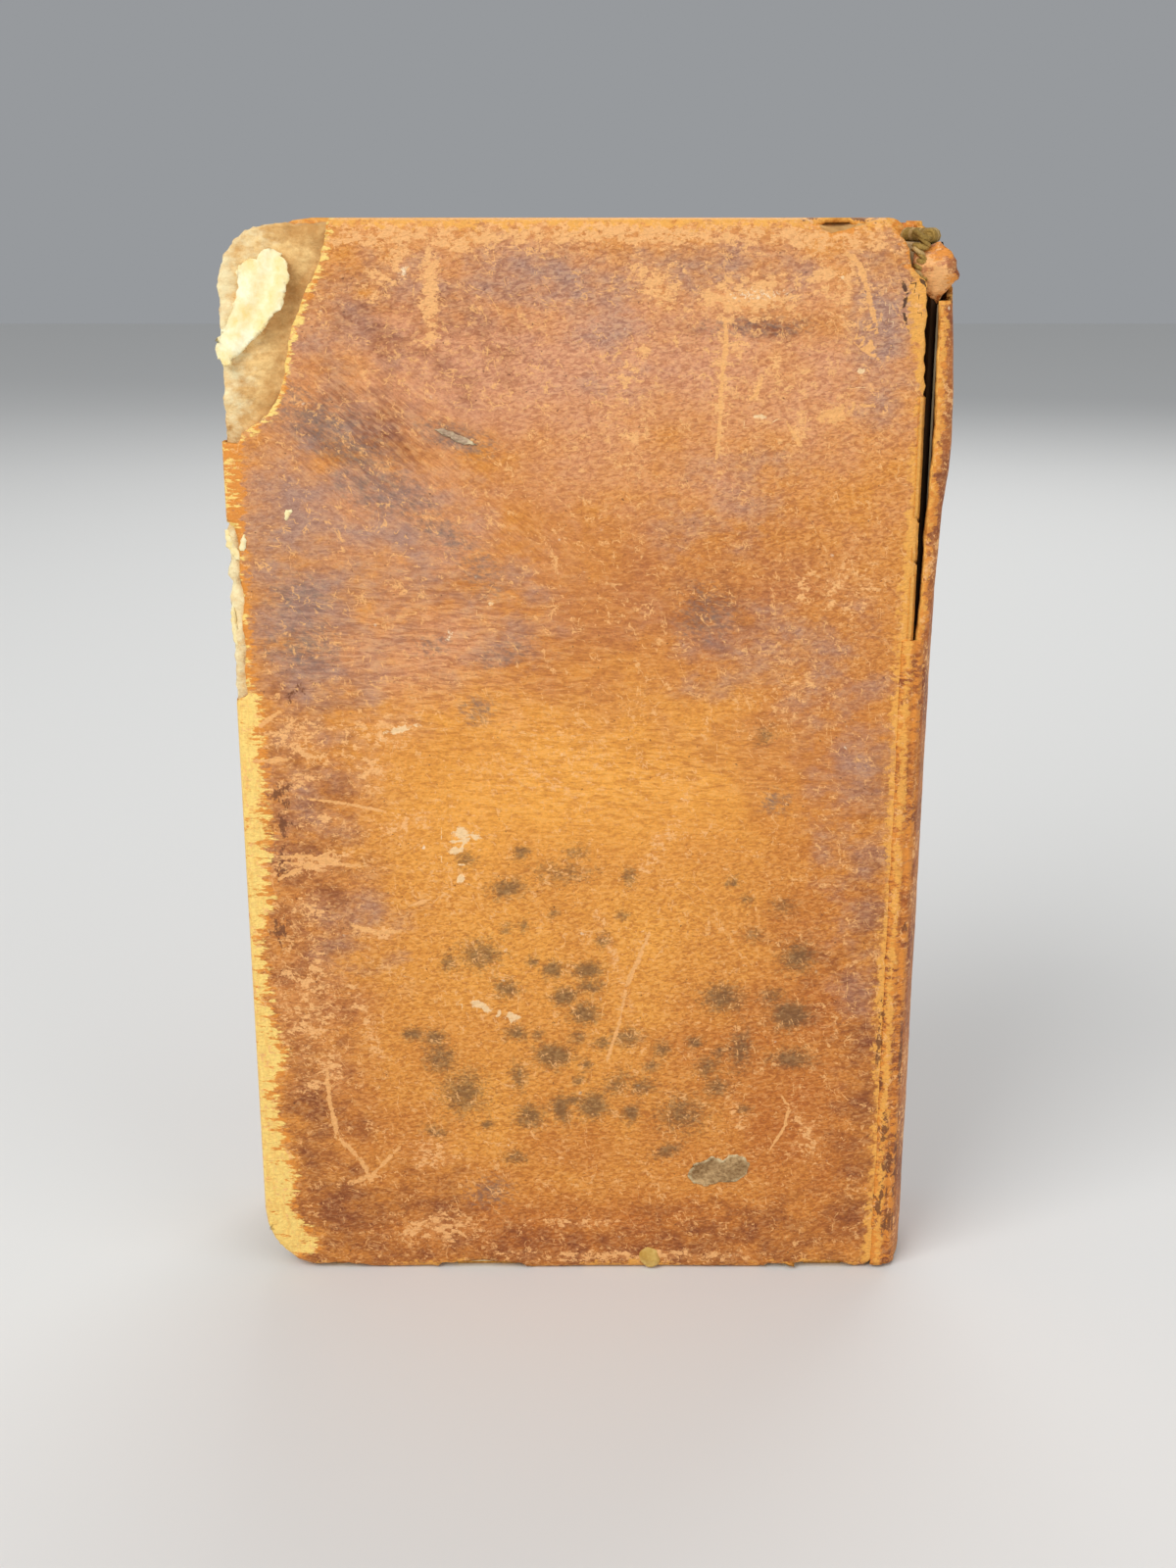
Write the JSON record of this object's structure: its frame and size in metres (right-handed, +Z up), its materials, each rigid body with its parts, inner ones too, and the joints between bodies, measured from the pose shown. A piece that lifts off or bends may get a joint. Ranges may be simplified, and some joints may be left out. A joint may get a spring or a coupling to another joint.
{
  "type": "antique leather book",
  "caption": "Closed antique book in full leather, standing on its tail, with a rounded spine, hinged covers, a torn board corner and a joint split at the head.",
  "frame": {"origin": "centre of the footprint, on the surface that the book stands on", "axes": "+Z up to the head of the book, +Y out through the front cover, -Y out through the rear cover, +X out through the spine"},
  "size_m": [0.1148, 0.0308, 0.1788],
  "materials": {
    "leather": "worn, dull sheen",
    "board": "matt, fibrous",
    "paper": "matt",
    "cord": "matt",
    "thread": "matt"
  },
  "bodies": {
    "block": {"text_block": "paper", "spine_lining": "paper", "spine_leather": "leather", "head_endband": "thread", "tail_endband": "thread", "kettle_stitch_head": "thread", "kettle_stitch_tail": "thread", "sewing_cord_1": "cord", "sewing_cord_2": "cord", "sewing_cord_3": "cord"},
    "rear_cover": {"rear_leather": "leather", "rear_board": "board", "rear_pastedown": "paper", "rear_cord_slip_1": "cord", "rear_cord_slip_2": "cord", "rear_cord_slip_3": "cord"},
    "front_cover": {"front_leather": "leather", "front_board": "board", "front_pastedown": "paper", "front_cord_slip_1": "cord", "front_cord_slip_2": "cord", "front_cord_slip_3": "cord"}
  },
  "joints": [
    {"name": "rear_cover_hinge", "type": "hinge", "parent": "block", "child": "rear_cover", "pos_m": [0.05225, -0.01515, 0.0894], "axis": [0, 0, 1], "range_deg": [0, 180]},
    {"name": "front_cover_hinge", "type": "hinge", "parent": "block", "child": "front_cover", "pos_m": [0.05225, 0.01515, 0.0894], "axis": [0, 0, -1], "range_deg": [0, 180]}
  ]
}
